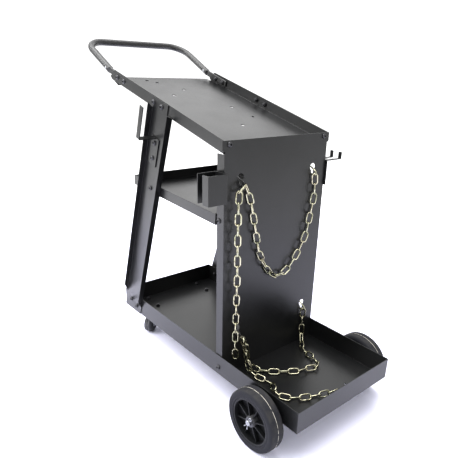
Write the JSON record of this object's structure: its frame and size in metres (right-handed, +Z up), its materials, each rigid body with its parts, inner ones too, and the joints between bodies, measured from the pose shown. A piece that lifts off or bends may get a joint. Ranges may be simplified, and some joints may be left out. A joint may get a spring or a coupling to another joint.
{
  "type": "welding cart",
  "caption": "Black folded-sheet welding cart with sloped top shelf, middle shelf, wheeled bottom tray for a gas cylinder, chains, cable hooks and tube push handle.",
  "frame": {"origin": "on the floor, under the middle of the bounding box", "axes": "+Z up; +Y from the handle end toward the cylinder bay; +X to the right of someone who pushes the cart"},
  "size_m": [0.3836, 0.8159, 0.7688],
  "materials": {
    "powder_coat": "fine-texture satin powder coat",
    "screws": "black oxide",
    "zinc": "bright zinc plate",
    "chain": "yellow zinc plate",
    "tyre": "matt moulded rubber",
    "caster_tread": "matt moulded rubber",
    "hub": "moulded black plastic"
  },
  "bodies": {
    "cart": {"axle": "zinc", "back_panel": "powder_coat", "bottom_tray": "powder_coat", "cable_hook": "powder_coat", "fork_hook": "powder_coat", "handle": "powder_coat", "left_axle_bracket": "powder_coat", "left_caster_plate": "zinc", "left_caster_screw_1": "screws", "left_caster_screw_2": "screws", "left_ear_screw": "screws", "left_fork_hook_screw": "screws", "left_handle_screw_1": "screws", "left_handle_screw_2": "screws", "left_middle_shelf_screw": "screws", "left_outer_washer": "zinc", "left_post": "powder_coat", "left_post_foot_screw_1": "screws", "left_post_foot_screw_2": "screws", "left_post_middle_screw": "screws", "left_post_top_screw_1": "screws", "left_post_top_screw_2": "screws", "left_split_pin": "zinc", "left_tray_screw": "screws", "lower_chain": "chain", "middle_shelf": "powder_coat", "right_axle_bracket": "powder_coat", "right_cable_hook_screw_1": "screws", "right_cable_hook_screw_2": "screws", "right_caster_plate": "zinc", "right_caster_screw_1": "screws", "right_caster_screw_2": "screws", "right_ear_screw": "screws", "right_handle_screw_1": "screws", "right_handle_screw_2": "screws", "right_middle_shelf_screw": "screws", "right_outer_washer": "zinc", "right_post": "powder_coat", "right_post_foot_screw_1": "screws", "right_post_foot_screw_2": "screws", "right_post_middle_screw": "screws", "right_post_top_screw_1": "screws", "right_post_top_screw_2": "screws", "right_split_pin": "zinc", "right_torch_holder_screw": "screws", "right_tray_screw": "screws", "top_shelf": "powder_coat", "torch_holder": "powder_coat", "upper_chain": "chain"},
    "right_wheel": {"right_tyre": "tyre", "right_hub": "hub"},
    "right_caster": {"right_caster_fork": "zinc", "right_caster_pin": "zinc"},
    "right_caster_roller": {"right_caster_wheel": "caster_tread"},
    "left_wheel": {"left_tyre": "tyre", "left_hub": "hub"},
    "left_caster": {"left_caster_fork": "zinc", "left_caster_pin": "zinc"},
    "left_caster_roller": {"left_caster_wheel": "caster_tread"}
  },
  "joints": [
    {"name": "right_wheel_spin", "type": "hinge", "parent": "cart", "child": "right_wheel", "pos_m": [0.168, 0.3138, 0.06765], "axis": [1, 0, 0], "continuous": true},
    {"name": "right_caster_swivel", "type": "hinge", "parent": "cart", "child": "right_caster", "pos_m": [0.0845, -0.2285, 0.06], "axis": [0, 0, 1], "continuous": true},
    {"name": "right_caster_roll", "type": "hinge", "parent": "right_caster", "child": "right_caster_roller", "pos_m": [0.10137, -0.21775, 0.025], "axis": [-0.5373, 0.8434, 0], "continuous": true},
    {"name": "left_wheel_spin", "type": "hinge", "parent": "cart", "child": "left_wheel", "pos_m": [-0.168, 0.3138, 0.06765], "axis": [1, 0, 0], "continuous": true},
    {"name": "left_caster_swivel", "type": "hinge", "parent": "cart", "child": "left_caster", "pos_m": [-0.0845, -0.2285, 0.06], "axis": [0, 0, 1], "continuous": true},
    {"name": "left_caster_roll", "type": "hinge", "parent": "left_caster", "child": "left_caster_roller", "pos_m": [-0.06763, -0.21775, 0.025], "axis": [-0.5373, 0.8434, 0], "continuous": true}
  ]
}
